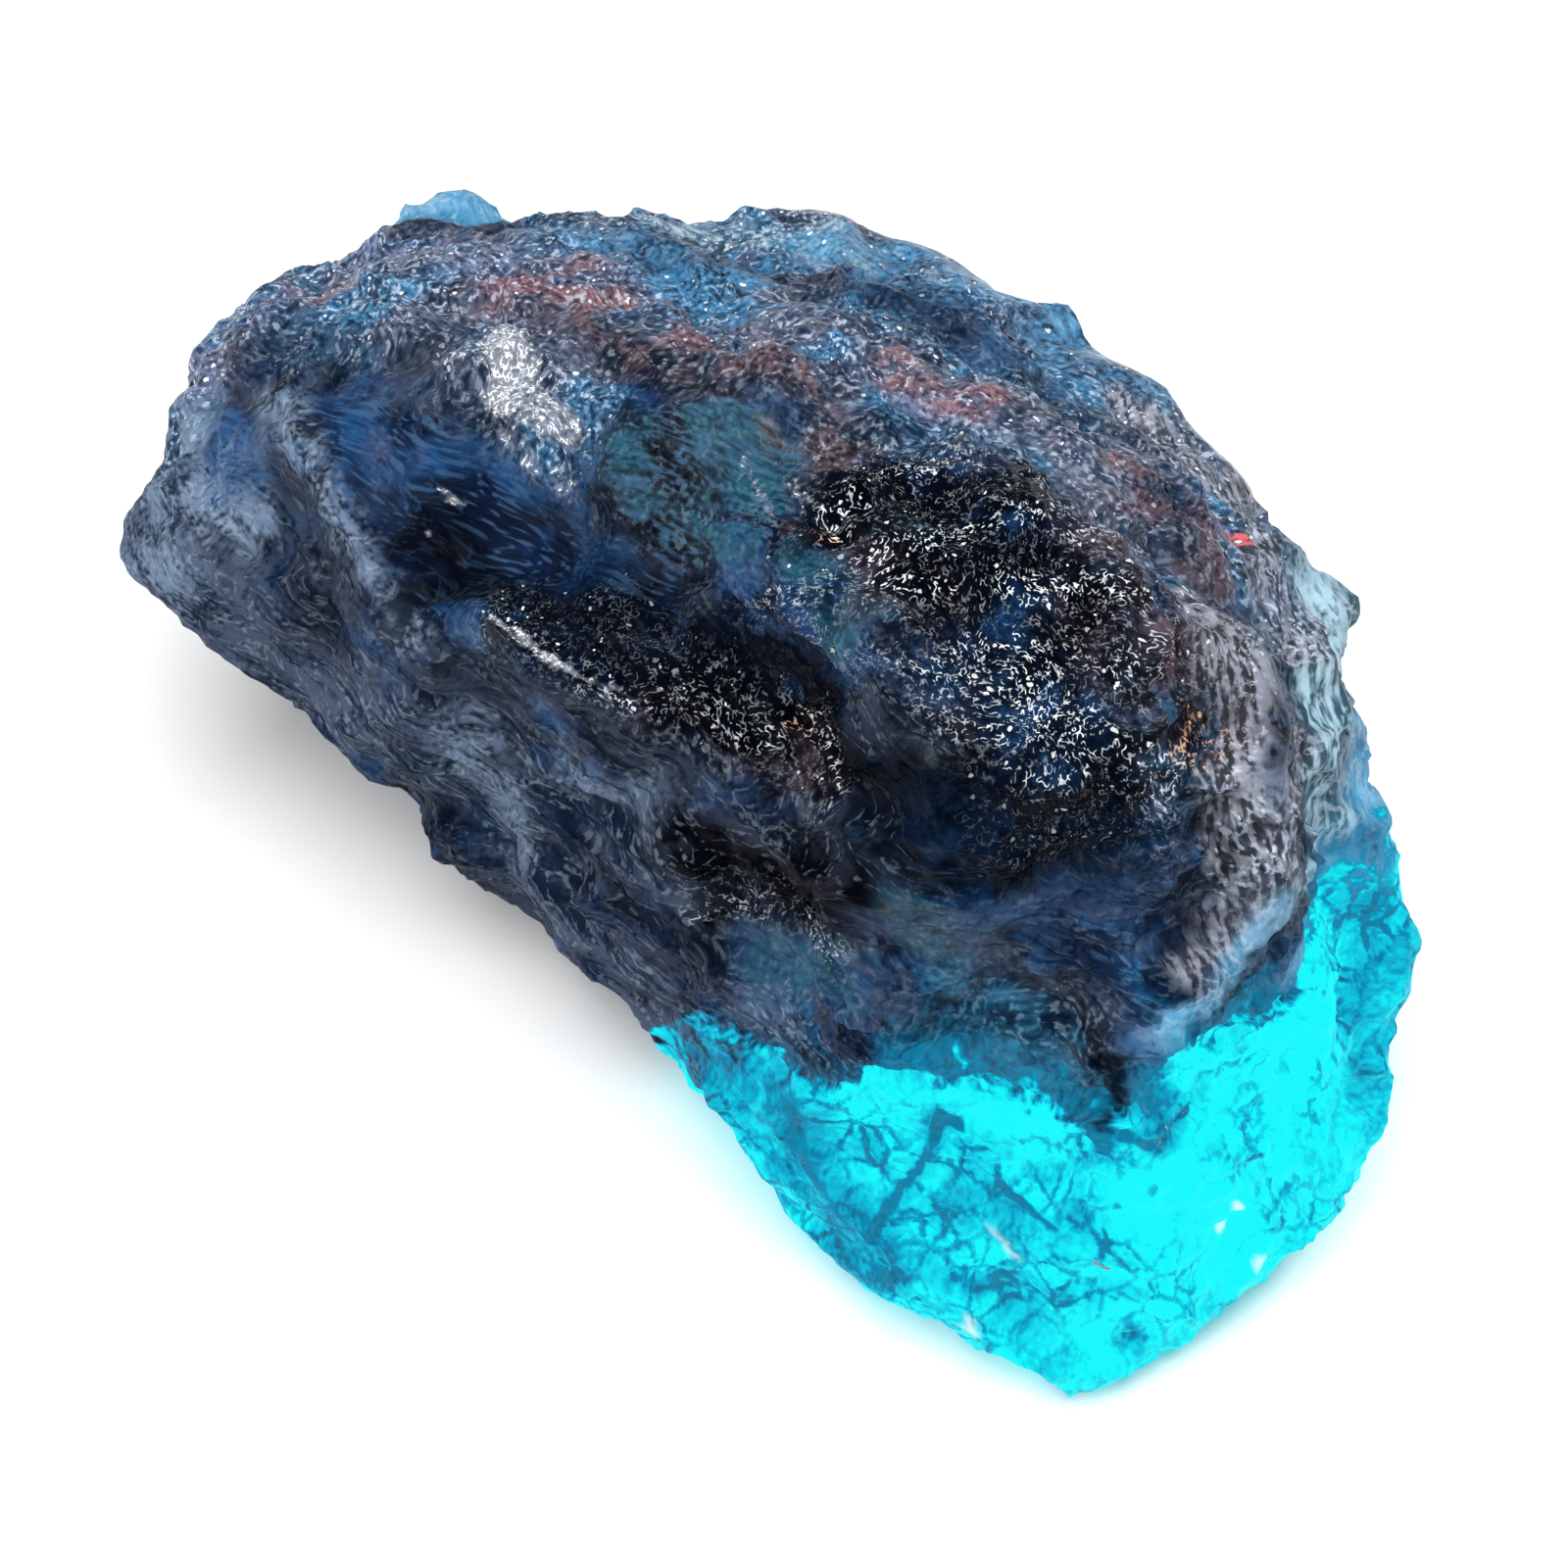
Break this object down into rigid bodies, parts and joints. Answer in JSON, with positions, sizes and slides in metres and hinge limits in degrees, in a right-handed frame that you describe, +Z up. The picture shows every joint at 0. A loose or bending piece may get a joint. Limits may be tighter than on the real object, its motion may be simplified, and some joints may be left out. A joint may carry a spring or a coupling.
{
  "type": "rough sapphire",
  "caption": "Uncut lump of rough blue sapphire: a long, domed, broken-faced stone with one thin light end, lying on a worn flat underside.",
  "frame": {"origin": "middle of the bounding box in plan, on the surface the stone rests on", "axes": "+X along the stone to its thin light end, +Y to the side with the overhanging rim, +Z up"},
  "size_m": [0.0644, 0.037, 0.0295],
  "materials": {
    "sapphire": "natural broken crystal, half glossy"
  },
  "bodies": {
    "root": {"sapphire": "sapphire"}
  },
  "joints": []
}
